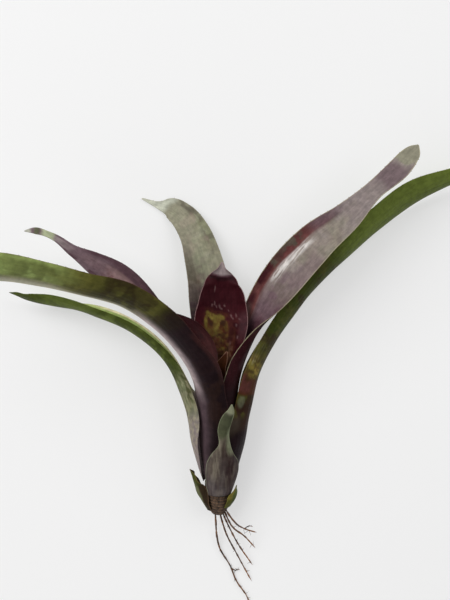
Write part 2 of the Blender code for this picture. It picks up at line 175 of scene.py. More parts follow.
LEAVES = {
    "leaf_heart": Leaf(150, [Wrap(22, 150, 150, 0), Wrap(40, 150, 150, 0), Wrap(54, 110, 110, -0.4)], [
        Rib(-2, -35.5, 20.5, 8, 60, -20), Rib(0, -30.5, 21, 4, 50, -20), Rib(1, -27, 21.5, 0.8, 20, -20),
    ]),
    "leaf_cup": Leaf(178, [
        Wrap(17, 140, 140, 1), Wrap(32, 135, 135, 1), Wrap(47, 125, 125, 1), Wrap(58, 112, 112, 1),
    ], [
        Rib(-2.5, -26.5, 14, 31.5, 85, 0), Rib(-2, -13.5, 14, 36.5, 72, 0), Rib(-1.5, -1.5, 14.5, 30, 58, 0),
        Rib(-2, 8.5, 16, 20.4, 42, 0), Rib(-1.8, 15.5, 18.3, 8.2, 30, 0), Rib(-1.5, 20, 20, 0.6, 20, 0),
    ]),
    "leaf_back": Leaf(186, [
        Wrap(14, 130, 130, 2), Wrap(30, 125, 125, 2), Wrap(45, 104, 96, 2), Wrap(57, 66, 46, 2),
    ], [
        Rib(-5.5, -24, 10, 17, 42, 0), Rib(-7.5, -13.5, 8.5, 19, 42, 4, 0.42),
        Rib(-8.5, 0, 8.2, 22, 38, 4, 0.47), Rib(-9.5, 11, 7.5, 22.5, 36, 4), Rib(-12, 22.5, 6.5, 21, 32, 4),
        Rib(-16.5, 36, 4.4, 17.5, 28, 4), Rib(-23.5, 46, 1.9, 14.5, 25, 4), Rib(-30, 50.5, 0.7, 11, 20, 4),
        Rib(-35, 51.5, 0.7, 5.4, 20, 4), Rib(-45.5, 55.5, 0.9, 0.6, 10, 4),
    ]),
    "leaf_back_left": Leaf(238, [
        Wrap(11, 120, 120, 3), Wrap(28, 120, 120, 3), Wrap(45, 88, 112, 3), Wrap(58, 24, 98, 3),
    ], [
        Rib(-18.5, -24, 19.5, 20, 90, 80, 0.08), Rib(-27.5, -15, 21, 20.2, 86, 72, 0.19),
        Rib(-40.5, -3, 24, 20.7, 62, 56, 0.4), Rib(-56.5, 10.5, 26, 20, 40, 44),
        Rib(-69.5, 19, 28, 14, 36, 38), Rib(-79, 25, 29, 8, 36, 40), Rib(-87.5, 31.5, 30, 5.6, 30, 50),
        Rib(-92.5, 34, 31, 4.8, 20, 50), Rib(-97.5, 35.5, 31, 4, 20, 30), Rib(-103, 35.5, 31, 0.6, 10, 30),
    ]),
    "leaf_back_right": Leaf(118, [
        Wrap(8, 110, 110, 4), Wrap(26, 112, 112, 4), Wrap(44, 112, 92, 4), Wrap(57, 106, 48, 4),
    ], [
        Rib(13, -22, 18, 22.4, 84, -60, 0.58), Rib(22.5, -1.5, 22, 25.2, 52, -36, 0.55),
        Rib(35, 16, 28, 24.5, 32, -25), Rib(48, 30, 31, 22.5, 28, -25), Rib(62.5, 42, 33, 17, 25, -25),
        Rib(76, 55, 34, 12.8, 25, -40), Rib(89.5, 67.5, 35, 12.2, 18, -25),
        Rib(93.5, 72.5, 35, 10.4, 15, -20), Rib(96.6, 76.5, 35, 6.8, 12, -20),
        Rib(98.5, 79, 35, 0.8, 10, -20),
    ]),
    "leaf_front_left": Leaf(322, [
        Wrap(5, 80, 80, 5), Wrap(22, 80, 80, 5), Wrap(38, 70, 74, 5), Wrap(50, 58, 60, 5),
    ], [
        Rib(-15, -38, 34.5, 28.2, 82, 130, 0.5), Rib(-22, -26, 42, 29.5, 63, 124, 0.55),
        Rib(-34, -12, 52, 29.9, 48, 122, 0.53), Rib(-49.5, -1, 62, 26.8, 44, 122, 0.51),
        Rib(-67, 4.5, 71, 22, 44, 122), Rib(-84, 9, 79, 23, 36, 122), Rib(-102, 12.5, 86, 25, 30, 124, 0.52),
        Rib(-123, 13, 92, 20.5, 28, 122, 0.51), Rib(-142, 13, 95, 0.8, 10, 122),
    ]),
    "leaf_right": Leaf(80, [Wrap(2, 66, 70, 6), Wrap(12, 70, 72, 7.2), Wrap(24, 66, 66, 7.8)], [
        Rib(13, -59, 17, 26, 82, -95), Rib(17, -41.5, 16.5, 27, 78, -90), Rib(28.5, -19, 15, 26.5, 66, -95),
        Rib(43.5, 1.5, 14, 26.5, 58, -100), Rib(62, 21, 13.2, 26, 50, -110),
        Rib(82.5, 40, 13, 25.5, 46, -118), Rib(100.5, 54, 13, 24, 40, -122),
        Rib(119.5, 63, 13, 18.5, 34, -117), Rib(138.5, 70, 12, 11, 30, -118),
        Rib(155.5, 76, 11, 0.6, 10, -118),
    ]),
    "leaf_left": Leaf(250, [Wrap(2, 66, 20, 6), Wrap(12, 70, 50, 7.3), Wrap(24, 68, 60, 7.9)], [
        Rib(-22.5, -50.5, 18.5, 22.5, 68, 96, 0.54), Rib(-30.5, -34, 15.5, 21.3, 56, 90, 0.49),
        Rib(-48, -18, 12.8, 23.2, 54, 86, 0.48), Rib(-71.5, -7.5, 11.2, 22.7, 50, 88),
        Rib(-93.5, -2.5, 11, 19, 40, 104), Rib(-103, -0.4, 11, 14, 34, 106), Rib(-110, 2, 11, 8, 28, 106),
        Rib(-115.5, 4, 11, 0.6, 10, 106),
    ]),
    "leaf_short_front": Leaf(5, [
        Wrap(-3, 40, 42, 7), Wrap(2, 43, 50, 8), Wrap(10, 38, 58, 8.5), Wrap(17, 30, 43, 8.8),
        Wrap(22, 19, 27, 9), Wrap(27, 5, 19, 9),
    ], [
        Rib(-0.6, -66.5, 32, 6.4, 30, 186), Rib(1, -61, 34, 6, 30, 186), Rib(3, -56.5, 36, 3.6, 25, 186),
        Rib(3.5, -53, 37, 0.6, 10, 186),
    ]),
    "scale_left": Leaf(272, [Wrap(-13, 40, 52, 4.7), Wrap(-9, 38, 52, 6.6)], [
        Rib(-14.8, -102.9, 9.6, 15.6, 68, 95, 0.44), Rib(-15.9, -99, 10, 14.5, 64, 95, 0.44),
        Rib(-17.4, -94.3, 11, 9, 45, 95), Rib(-18.8, -90.4, 12, 0.6, 15, 92),
    ]),
    "scale_right": Leaf(70, [Wrap(-11, 40, 34, 5.1), Wrap(-6.5, 40, 32, 7.5), Wrap(-3, 36, 24, 8.1)], [
        Rib(6, -100.4, 13.1, 4.5, 25, -102), Rib(6.2, -98.6, 13.3, 0.6, 10, -104),
    ]),
}

# Each root's middle line, as its solid has it, and the finer side roots
ROOTS = {
    "root_a": [(-1, -110, 9.5), (3, -116.5, 9.5), (7, -121, 9), (11.5, -123.5, 8), (17, -125.5, 6.5)],
    "root_b": [(-1.5, -110, 8), (1.5, -118, 7.5), (4, -122.5, 6.5), (10.5, -128, 4.5), (16.5, -135, 2.5)],
    "root_c": [(-3, -110, 7), (0, -118, 6), (2.5, -123.5, 5), (6.5, -131.5, 3.5), (15, -144.5, 1.5)],
    "root_d": [(-4, -110, 6), (-1.5, -120, 5), (0.5, -126.5, 3.5), (6.5, -138.5, 2), (14.5, -153.5, 0.9)],
    "root_e": [
        (-5.5, -110, 5), (-5, -120, 4), (-4.5, -128, 2.5), (-3, -135, 1.4), (3, -145.5, 0.8), (6, -153, 0.8),
        (12, -162, 0.8), (14.5, -168.5, 0.8),
    ],
}
ROOTLETS = {
    "rootlet_a": [(3.5, -146.5, 0.8), (5.5, -147.5, 0.9), (8, -147, 0.8)],
    "rootlet_b": [(10.5, -123, 8.2), (13, -121.5, 8.6), (15, -122, 8.2)],
}


def shade(red, green, blue):
    """A colour as a painter mixes it, 0 to 255 a channel, in linear light."""
    mixed = np.array([red, green, blue]) / 255.0
    return np.where(mixed <= 0.04045, mixed / 12.92, ((mixed + 0.055) / 1.055) ** 2.4)


PLUM_BLACK = shade(30, 17, 20)
SMOKE = shade(60, 50, 54)
DARK_WINE = shade(50, 14, 20)
BURGUNDY = shade(72, 26, 32)
ROSE_BROWN = shade(98, 56, 54)
MAROON = shade(80, 38, 32)
RED_BROWN = shade(84, 46, 26)
BARK = shade(56, 34, 22)
BROWN_BLACK = shade(40, 24, 18)
PURPLE = shade(90, 62, 70)
MAUVE = shade(112, 92, 98)
MAUVE_GREY = shade(130, 118, 118)
LILAC_GREY = shade(138, 128, 122)
WARM_GREY = shade(118, 108, 98)
TAUPE = shade(112, 104, 90)
SAGE_GREY = shade(140, 137, 118)
SAGE = shade(146, 152, 122)
PALE_SAGE = shade(182, 184, 168)
DARK_OLIVE = shade(58, 54, 22)
OLIVE = shade(88, 86, 38)
YELLOW_OLIVE = shade(138, 120, 56)
MOSS = shade(58, 66, 18)
LEAF_GREEN = shade(86, 98, 40)
FRESH_GREEN = shade(112, 126, 56)
LIGHT_GREEN = shade(142, 158, 92)
GREY_GREEN = shade(104, 108, 80)
TAN = shade(150, 112, 92)
PINK_GREY = shade(164, 132, 130)
CREAM = shade(214, 206, 168)
# Painted highlight: the silver white of the bright streaks of light on leaf_back_right's inner face
PAINTED_HIGHLIGHT = shade(222, 216, 212)
ROOT_BROWN = shade(70, 60, 54)
ROOT_ORANGE = shade(136, 92, 58)
STEM_BROWN = shade(96, 74, 56)
SPINE_BROWN = shade(70, 50, 40)

# Pale scars on the cup leaf: their places along and across it, and their lengths
FLECKS = [
    (80.4, 0.36, 1.4), (81.6, 0.27, 2.4), (80, 0.19, 1.2), (81.2, 0.08, 2.2), (79.6, 0.03, 1.2),
    (81.8, -0.1, 1.6), (86.8, 0.3, 2.6), (78.4, -0.22, 1.0), (74.8, -0.3, 2.4), (73.4, -0.36, 1.2),
    (74.9, -0.49, 2.6), (72.6, -0.6, 1.3), (69.6, -0.48, 1.2), (64, -0.56, 2.0), (60, -0.3, 1.4),
]

# Each leaf's inner face is the one that looks towards the plant's axis.
SKINS = {
    "leaf_heart": Skin("heart_skin", RED_BROWN * 0.9, [
        Wash(ROSE_BROWN, 50, 90, -1.5, 1.5, 0.5, 6, 3),
    ], RED_BROWN, [], rim=0.8, rim_colour=TAN * 1.2, bloom=0.1, gloss=0.6, spines=0.0),
    "leaf_cup": Skin("cup_skin", DARK_WINE * 1.15, [
        Wash(BURGUNDY, 44, 78, -1.5, 1.5, 0.8, 10, 7),
        Wash(RED_BROWN, 40, 67, -0.45, 0.6, 0.95, 5),
        Wash(YELLOW_OLIVE * 0.8, 47, 65, -0.25, 0.5, 0.85, 4, 2.6),
        Wash(BROWN_BLACK, 40, 64, -0.3, 0.6, 0.8, 4, 2.2),
        Wash(TAN, 44, 64, -0.45, 0.4, 0.45, 4, 1.6),
        Wash(MAROON, 56, 72, -0.6, -0.15, 0.6, 4, 3),
        Wash(RED_BROWN * 1.2, 52, 70, -0.2, 0.5, 0.8, 5, 0.0, 0.2),
        Wash(YELLOW_OLIVE * 0.75, 54, 68, -0.2, 0.5, 0.7, 4, 1.5, 0.14),
        Wash(DARK_WINE, 50, 67, -0.3, 0.5, 0.7, 4, 2.2),
        Spot(YELLOW_OLIVE * 0.9, 73.6, 0.34, 4.8, 0.42),
        Spot(YELLOW_OLIVE * 0.8, 73.8, 0.08, 4.0, 0.3, 0.9),
        Spot(YELLOW_OLIVE * 0.8, 70.2, 0.17, 8, 0.17),
        Spot(YELLOW_OLIVE * 0.75, 68.4, 0.47, 6.5, 0.15),
        Spot(YELLOW_OLIVE * 0.6, 69, -0.1, 6.5, 0.14, 0.6),
        Spot(YELLOW_OLIVE * 0.65, 65.4, 0.26, 4, 0.5, 0.7),
        Spot(BARK * 1.3, 70.4, 0.33, 4.2, 0.2),
        Spot(BARK * 1.3, 70.8, 0.0, 4.6, 0.2),
        Spot(DARK_WINE, 65, -0.3, 9, 0.24, 0.6),
        Wash(RED_BROWN, 58, 78, -0.2, 0.62, 0.5, 4, 1.8),
        *(Spot(PINK_GREY * 0.8, along, across, long, 0.07, 0.36) for along, across, long in FLECKS),
        Wash(MAUVE, 62, 76, -1.5, -0.6, 0.2, 8),
        # Painted shadow: the dark line under the tip where it curls over; beyond it painted sheen, purple
        # fading to mauve grey, on the upturned tip
        Wash(PLUM_BLACK, 92, 95.4, -0.9, 0.9, 0.6, 1.5),
        Wash(PURPLE, 95.4, 98, -1.5, 1.5, 1.0, 1.5),
        Wash(MAUVE_GREY * 1.8, 97, 120, -1.5, 1.5, 0.95, 2),
    ], BURGUNDY * 0.8, [
        Wash(OLIVE, 0, 60, -1.5, 1.5, 0.5, 10, 8),
        Wash(MAUVE_GREY, 90, 120, -1.5, 1.5, 0.7, 8),
    ], rim=0.55, rim_colour=PINK_GREY, bloom=0.1, gloss=0.7),
    "leaf_back": Skin("back_skin", SAGE_GREY * 0.95, [
        Wash(ROSE_BROWN * 0.7, 52, 96, 0.35, 1.5, 0.9, 24),
        Wash(TAUPE * 0.75, 80, 126, 0.55, 1.5, 0.7, 16),
        Wash(MAUVE * 0.9, 40, 90, -1.5, 1.5, 0.7, 12),
        Wash(WARM_GREY, 60, 122, 0.1, 1.5, 0.6, 14, 9),
        Wash(SAGE, 92, 140, -1.2, 0.5, 0.4, 6, 7),
        Wash(OLIVE, 96, 132, -1.2, -0.1, 0.25, 5, 4),
        Wash(TAUPE * 0.6, 108, 142, -1.5, -0.55, 0.6, 5, 4),
        Wash(PINK_GREY, 114, 136, -0.7, 0.6, 0.25, 6, 6),
        Wash(SAGE_GREY * 1.15, 66, 112, -1.5, -0.1, 0.6, 16, 0.0, 0.5),
        Wash(SAGE_GREY * 1.3, 112, 146, -0.5, 1.5, 0.5, 16, 0.0, 0.5),
        Wash(PALE_SAGE * 1.15, 144, 180, -1.5, 1.5, 1.0, 5),
    ], GREY_GREEN, [
        Wash(MOSS, 20, 150, -1.5, 1.5, 0.6, 10, 9),
        Wash(MAUVE_GREY, 0, 30, -1.5, 1.5, 0.8, 10),
        Wash(PALE_SAGE, 147, 180, -1.5, 1.5, 0.8, 5),
    ], rim=0.15, bloom=0.5, gloss=0.3, spines=0.3),
    "leaf_back_left": Skin("back_left_skin", MAUVE, [
        Wash(BURGUNDY * 0.55, 30, 92, -1.5, 1.5, 1.0, 16),
        Wash(ROSE_BROWN * 0.6, 84, 102, -1.5, 1.5, 0.7, 12),
        Wash(PLUM_BLACK * 1.4, 60, 106, -1.5, -0.4, 0.6, 12),
        Wash(PURPLE * 0.7, 100, 142, -1.5, -0.35, 0.85, 8),
        # Painted sheen: the pink grey down the middle of the inner face
        Wash(PINK_GREY * 0.7, 106, 140, -0.5, 0.35, 0.8, 10),
        Wash(ROSE_BROWN * 0.9, 108, 136, -0.3, 0.5, 0.6, 8, 5),
        Wash(PURPLE * 0.7, 116, 150, 0.3, 1.5, 0.85, 8, 6),
        Wash(MAUVE * 0.9, 124, 152, -0.7, 0.6, 0.8, 8),
        Wash(MAUVE_GREY * 1.25, 148, 158, -0.7, 0.6, 0.9, 6),
        Wash(SAGE * 1.35, 155, 163, -1.5, 1.5, 1.0, 3),
        Wash(GREY_GREEN * 0.7, 164.5, 168, -1.5, 1.5, 0.9, 1.5),
        Wash(PALE_SAGE, 170, 180, -1.5, 1.5, 0.8, 2),
    ], BURGUNDY * 0.45, [
        Wash(ROSE_BROWN * 0.75, 40, 66, -1.5, 1.5, 0.6, 14),
        Wash(PLUM_BLACK, 0, 44, -1.5, 1.5, 0.7, 14),
        Wash(PLUM_BLACK * 1.3, 64, 90, -1.5, 1.5, 0.6, 14, 8),
        Wash(MAUVE_GREY, 90, 152, -1.5, 1.5, 0.7, 14),
        Wash(SAGE, 154, 180, -1.5, 1.5, 0.8, 4),
    ], rim=0.15, rim_colour=MAUVE_GREY, bloom=0.4, gloss=0.45, spines=0.3),
    # leaf_back_right's lilac grey inner face is partly its pale scales and partly painted sheen; the dark
    # wine towards its ahead margin is its own colour
    "leaf_back_right": Skin("back_right_skin", LILAC_GREY, [
        Wash(PLUM_BLACK * 1.3, 0, 66, -1.5, 1.5, 1.0, 8),
        Wash(DARK_WINE, 60, 84, -1.5, 1.5, 1.0, 8),
        Wash(PURPLE, 76, 106, -1.5, 0.6, 0.9, 18, 0.0, 0.5),
        Wash(MAUVE, 86, 112, -0.8, 0.4, 0.6, 10, 8),
        Wash(WARM_GREY, 98, 176, -1.5, 0.6, 0.5, 12, 7),
        Wash(SAGE_GREY, 116, 172, -1.2, 0.55, 0.45, 8, 8),
        Wash(WARM_GREY * 1.25, 112, 170, -0.9, 0.6, 0.4, 6, 5),
        Wash(MAUVE_GREY, 150, 178, -1.5, 1.5, 0.6, 12),
        Wash(MAUVE * 1.05, 108, 132, -1.1, -0.2, 0.6, 10, 0.0, 0.4),
        # Painted highlight: a lighter lilac band and silver streaks along the crease, where the channel's
        # floor catches the light
        Wash(LILAC_GREY * 1.5, 98, 132, 0.2, 0.56, 0.6, 14, 0.0, 0.3),
        Wash(PAINTED_HIGHLIGHT, 105, 131, 0.2, 0.56, 0.85, 8, 0.6, 0.2, 10.0),
        Wash(PAINTED_HIGHLIGHT, 113, 125, 0.34, 0.48, 0.4, 8, 0.0, 0.2),
        Wash(ROSE_BROWN * 0.7, 84, 150, 0.54, 1.5, 1.0, 18, 0.0, 0.1),
        Wash(ROSE_BROWN * 1.25, 84, 148, 0.5, 0.74, 0.75, 14, 0.0, 0.3),
        Wash(DARK_WINE * 1.2, 84, 112, 0.66, 1.5, 0.9, 10, 9),
        Wash(TAUPE * 0.5, 108, 130, 0.62, 1.5, 0.8, 6, 4),
        Wash(BURGUNDY, 96, 122, 0.6, 1.5, 0.6, 6, 5),
        Wash(MAUVE * 0.8, 136, 156, 0.5, 1.5, 0.7, 10),
        Wash(MAUVE * 0.82, 176, 193, -1.5, 1.5, 0.8, 5),
        Wash(SAGE_GREY * 0.95, 195, 230, -1.5, 1.5, 0.95, 1.5),
    ], DARK_WINE * 0.8, [
        Wash(PLUM_BLACK, 0, 50, -1.5, 1.5, 0.8, 12),
        Wash(MAUVE * 0.6, 56, 100, -0.6, 0.2, 0.6, 10),
        Wash(MAROON, 80, 150, -1.5, 1.5, 0.8, 14, 10),
        Wash(BROWN_BLACK, 150, 190, -1.5, 1.5, 0.9, 8),
        Wash(SAGE_GREY, 194, 230, -1.5, 1.5, 0.9, 4),
    ], rim=0.4, rim_colour=CREAM, bloom=0.5, gloss=0.5),
    "leaf_front_left": Skin("front_left_skin", OLIVE, [
        Wash(DARK_WINE, 0, 90, -1.5, 1.5, 0.9, 14),
        Wash(MAROON, 90, 130, -1.5, 1.5, 0.7, 14, 12),
    ], PLUM_BLACK * 0.9, [
        # Painted sheen: the lighter mauve band along the sheath's behind side
        Wash(MAUVE * 0.62, 0, 96, -0.8, 0.1, 0.8, 10, 0.0, 0.5),
        Wash(BROWN_BLACK * 1.2, 30, 108, 0.1, 1.5, 0.5, 10, 6),
        Wash(PLUM_BLACK * 1.2, 60, 104, 0.2, 1.5, 0.9, 10, 0.0, 0.3),
        Wash(ROSE_BROWN * 0.4, 56, 84, 0.84, 1.5, 0.8, 10, 0.0, 0.16),
        Wash(DARK_OLIVE, 98, 150, -0.6, 1.5, 1.0, 14),
        Wash(OLIVE, 102, 156, -0.5, 1.5, 0.7, 8, 6),
        Wash(BROWN_BLACK, 98, 134, 0.1, 1.5, 0.45, 8, 5),
        Wash(OLIVE * 1.35, 138, 280, -1.5, 1.5, 0.9, 24),
        Wash(LIGHT_GREEN * 1.1, 152, 280, 0.0, 1.5, 0.9, 24, 0.0, 0.5),
        Wash(OLIVE * 0.7, 132, 178, 0.0, 0.9, 0.5, 12, 7),
        # Partly pale scales and partly painted sheen: the pale grey and mauve grey over the behind side of
        # the outer face
        Wash(SAGE_GREY * 1.6, 150, 280, -1.5, -0.1, 0.8, 20, 0.0, 0.5),
        Wash(SAGE_GREY * 1.9, 100, 280, -1.5, -0.36, 0.9, 30, 0.0, 0.5),
        Wash(MAUVE_GREY * 2.3, 52, 106, -1.5, -0.06, 0.95, 20, 0.0, 0.5),
        Wash(MAUVE_GREY * 1.3, 20, 64, -1.5, -0.45, 0.8, 16, 0.0, 0.5),
    ], rim=0.25, rim_colour=ROSE_BROWN, bloom=0.25, gloss=0.5),
    "leaf_right": Skin("right_skin", LIGHT_GREEN * 0.8, [
        Wash(YELLOW_OLIVE, 30, 100, -1.5, 1.5, 0.8, 12),
        # The cream strip by the behind margin of the inner face is partly its pale colour and partly a
        # painted highlight
        Wash(CREAM, 56, 84, -1.5, -0.5, 0.6, 5),
    ], MOSS, [
        Wash(PLUM_BLACK, 0, 42, -1.5, 1.5, 1.0, 5),
        Wash(SMOKE * 0.8, 0, 50, -0.2, 0.6, 0.6, 8),
        Wash(BARK * 0.8, 30, 50, -1.5, 1.5, 0.9, 6),
        Wash(TAUPE * 0.4, 30, 37, -1.2, -0.6, 0.6, 6, 0.0, 0.4),
        Wash(OLIVE * 0.8, 37, 48, -1.2, -0.5, 0.7, 4, 1.6, 0.3, 2.0),
        Spot(SAGE * 0.45, 44, -0.78, 7, 0.3, 0.5),
        Wash(RED_BROWN * 0.8, 48, 58.5, -1.5, 1.5, 1.0, 2),
        Wash(ROSE_BROWN * 0.75, 50, 58, -1.5, -0.5, 0.7, 3),
        Wash(YELLOW_OLIVE, 59, 69, -1.5, -0.3, 1.0, 3),
        Wash(OLIVE, 58, 72, -1.5, 1.5, 0.6, 3, 4),
        Wash(CREAM * 0.7, 62, 80, -1.0, -0.7, 0.4, 4, 0.7, 0.22, 9.0),
        Wash(BARK, 57, 66, -1.5, 0.2, 0.6, 2, 2.2),
        Wash(DARK_OLIVE, 66, 84, -1.5, 1.5, 0.8, 5),
        Wash(BROWN_BLACK * 1.5, 66, 84, -1.5, 0.4, 0.5, 4, 5),
        Wash(OLIVE, 68, 98, -1.5, -0.3, 0.5, 4, 5),
        Wash(OLIVE * 0.75, 94, 142, -1.5, 0.6, 0.6, 6, 9),
        Wash(BARK * 0.9, 99, 107, -1.5, 0.5, 0.5, 3, 6),
        Wash(BARK, 120, 130, -1.5, 0.5, 0.5, 4, 6),
        Wash(LEAF_GREEN * 1.15, 136, 260, -1.5, 1.5, 1.0, 24),
        Wash(FRESH_GREEN, 150, 260, -1.5, -0.1, 0.6, 20, 0.0, 0.6),
    ], rim=0.12, rim_colour=YELLOW_OLIVE, bloom=0.12, gloss=0.5, spines=0.3),
    "leaf_left": Skin("left_skin", FRESH_GREEN * 0.9, [
        # Painted light: the sheath's inner face is painted pale mauve grey where it lies in shade beside the
        # margin
        Wash(MAUVE_GREY * 2.2, -10, 54, -1.5, 1.5, 1.0, 12),
        Wash(LIGHT_GREEN * 0.9, 90, 170, -1.5, 1.5, 0.6, 14, 8),
        # Painted light: the behind side of the inner face is painted a lighter green to offset the channel's
        # own shade
        Wash(LIGHT_GREEN * 1.5, 50, 150, -1.5, -0.2, 0.95, 16, 0.0, 0.4),
        Wash(CREAM * 1.5, 52, 116, -1.5, -0.9, 0.95, 24, 0.0, 0.12),
    ], LEAF_GREEN * 0.95, [
        Wash(WARM_GREY, 0, 36, -1.5, 1.5, 1.0, 16),
        Wash(GREY_GREEN * 1.05, 30, 60, -1.5, 1.5, 1.0, 16),
        Wash(OLIVE * 0.5, 16, 66, -1.5, 1.5, 0.7, 8, 2.4, 0.22, 2.5),
        Wash(MAUVE_GREY * 1.2, 4, 42, 0.2, 1.5, 0.75, 12, 0.0, 0.4),
        Wash(CREAM * 0.55, 18, 60, -0.9, 1.5, 0.45, 8, 0.9, 0.22, 2.0),
        Wash(GREY_GREEN, 60, 150, -0.9, 0.1, 0.5, 10, 9),
        Wash(MOSS, 60, 116, 0.1, 1.5, 0.7, 8, 6),
        Wash(MOSS * 0.8, 58, 84, -0.4, 1.5, 0.6, 6, 5),
        Wash(FRESH_GREEN, 90, 150, -0.4, 0.7, 0.4, 10, 8),
        Wash(MOSS, 142, 180, -1.5, 1.5, 0.6, 8),
    ], rim=0.0, bloom=0.15, gloss=0.45, spines=0.3),
    "leaf_short_front": Skin("short_front_skin", SAGE_GREY, [], TAUPE * 0.75, [
        Wash(MAUVE_GREY * 0.42, -10, 24, -1.5, 1.5, 0.9, 8),
        Wash(BROWN_BLACK * 1.3, 6, 34, 0.2, 0.8, 0.8, 10, 0.0, 0.5),
        Wash(TAUPE * 1.2, 12, 38, -0.9, 0.0, 0.9, 12, 0.0, 0.5),
        Wash(WARM_GREY, -10, 34, -1.5, 1.5, 0.35, 8, 1.0, 0.22, 8.0),
        Wash(PLUM_BLACK * 2, -10, 30, -1.5, 1.5, 0.5, 8, 1.6, 0.22, 6.0),
        Wash(GREY_GREEN * 0.45, 36, 51, -1.2, 1.2, 1.0, 4),
        Wash(SAGE * 0.8, 26, 40, 0.6, 1.5, 0.6, 5, 0.0, 0.4),
        Wash(SAGE * 0.9, 51.5, 70, -1.5, 1.5, 0.6, 2),
    ], rim=0.55, rim_colour=SAGE, bloom=0.2, gloss=0.3, spines=0.0),
    "scale_left": Skin("scale_left_skin", OLIVE, [], OLIVE * 0.85, [
        Wash(GREY_GREEN, 6, 20, -1.5, 0.6, 0.6, 5),
        Wash(BROWN_BLACK, 0, 20, 0.55, 1.5, 0.9, 3),
        Wash(MOSS, 17, 30, -1.5, 1.5, 0.6, 3),
    ], rim=0.3, rim_colour=TAN, bloom=0.2, gloss=0.3, spines=0.0),
    "scale_right": Skin("scale_right_skin", FRESH_GREEN * 0.8, [], LEAF_GREEN * 0.85, [
        Wash(YELLOW_OLIVE, 0, 30, -1.5, -0.5, 0.6, 4),
        Wash(MOSS, 0, 8, -1.5, 1.5, 0.7, 3),
    ], rim=0.3, rim_colour=YELLOW_OLIVE, bloom=0.1, gloss=0.3, spines=0.0),
}


# Shapes

def axis_frame(tilt):
    """The plant's axis, and the direction square to it that faces up."""
    angle = np.radians(tilt)
    along = np.array([0.0, np.cos(angle), np.sin(angle)])
    front = np.array([0.0, -np.sin(angle), np.cos(angle)])
    return along, front


AXIS, FRONT = axis_frame(AXIS_TILT)


def nest_radius(height, nest):
    """How far a sheath stands from the axis: a cubic core plus its place in the nest times a pitch."""
    core = CORE_RADIUS + CORE_FLARE * height + CORE_CURVE * height**3
    risen = np.clip(height / PITCH_HEIGHT, 0.0, 1.0)
    pitch = LEAF_PITCH + PITCH_GROWTH * risen**2 * (3 - 2 * risen)
    return core + nest * pitch


def around_axis(height, radius, turn):
    """The point at this height and turn: foot + axis * height + radius * (sin turn, cos turn)."""
    angle = np.radians(turn)
    return AXIS_FOOT + AXIS * height + radius * (np.sin(angle) * RIGHT + np.cos(angle) * FRONT)


def section_rows(leaf):
    """One row a section: keel x, y, z, arc behind, arc ahead, curvature, roll, and 1 on the sheath.

    A sheath's roll is its turn less half a turn, or plus half a turn on the front leaf, as in its ribs.
    """
    rows = []
    for wrap in leaf.wraps:
        radius = nest_radius(wrap.height, wrap.nest)
        arcs = radius * np.radians([wrap.behind, wrap.ahead])
        roll = leaf.turn - 180 if leaf.turn > 20 else leaf.turn + 180
        rows.append([*around_axis(wrap.height, radius, leaf.turn), *arcs, 1 / radius, roll, 1.0])
    for rib in leaf.ribs:
        arcs = (rib.width * rib.behind, rib.width * (1 - rib.behind))
        rows.append([rib.x, rib.y, rib.z, *arcs, np.radians(rib.curl) / (rib.width / 2), rib.roll, 0.0])
    return np.array(rows)


def through(knots, rows, places):
    """A smooth curve through rows, read at places along the knots: a cubic Hermite with central slopes."""
    slopes = np.gradient(rows, knots, axis=0)
    first = np.clip(np.searchsorted(knots, places, side="right") - 1, 0, len(knots) - 2)
    span = (knots[first + 1] - knots[first])[:, None]
    part = (places - knots[first])[:, None] / span
    start, end = rows[first], rows[first + 1]
    return (
        (1 + 2 * part) * (1 - part) ** 2 * start
        + part * (1 - part) ** 2 * span * slopes[first]
        + part**2 * (3 - 2 * part) * end
        + part**2 * (part - 1) * span * slopes[first + 1]
    )


def run_along(points):
    """The distance run along a row of points."""
    steps = np.linalg.norm(np.diff(points, axis=0), axis=1)
    return np.concatenate([[0.0], np.cumsum(steps)])


def unit(vectors):
    """Each vector divided by its own length."""
    return vectors / np.linalg.norm(vectors, axis=-1, keepdims=True)


def ease(values, low, high):
    """0 below low, 1 above high, and 3p^2 - 2p^3 in between."""
    part = np.clip((values - low) / (high - low), 0.0, 1.0)
    return part**2 * (3 - 2 * part)


def between(values, low, high, soft):
    """1 from low to high, easing to 0 over soft at each end."""
    return ease(values, low - soft / 2, low + soft / 2) * (1 - ease(values, high - soft / 2, high + soft / 2))


def cloud(x, y, seed):
    """Smooth random values from 0 to 1: a lattice of seeded random numbers, blended by ease.

    Whatever a caller adds to x or y only picks another part of the same lattice.
    """
    side = 64
    lattice = np.random.default_rng(seed).random((side, side))
    column, row = np.floor(x).astype(int), np.floor(y).astype(int)
    over, up = ease(x - column, 0.0, 1.0), ease(y - row, 0.0, 1.0)
    low = lattice[row % side, column % side] * (1 - over) + lattice[row % side, (column + 1) % side] * over
    row = row + 1
    high = lattice[row % side, column % side] * (1 - over) + lattice[row % side, (column + 1) % side] * over
    return low * (1 - up) + high * up


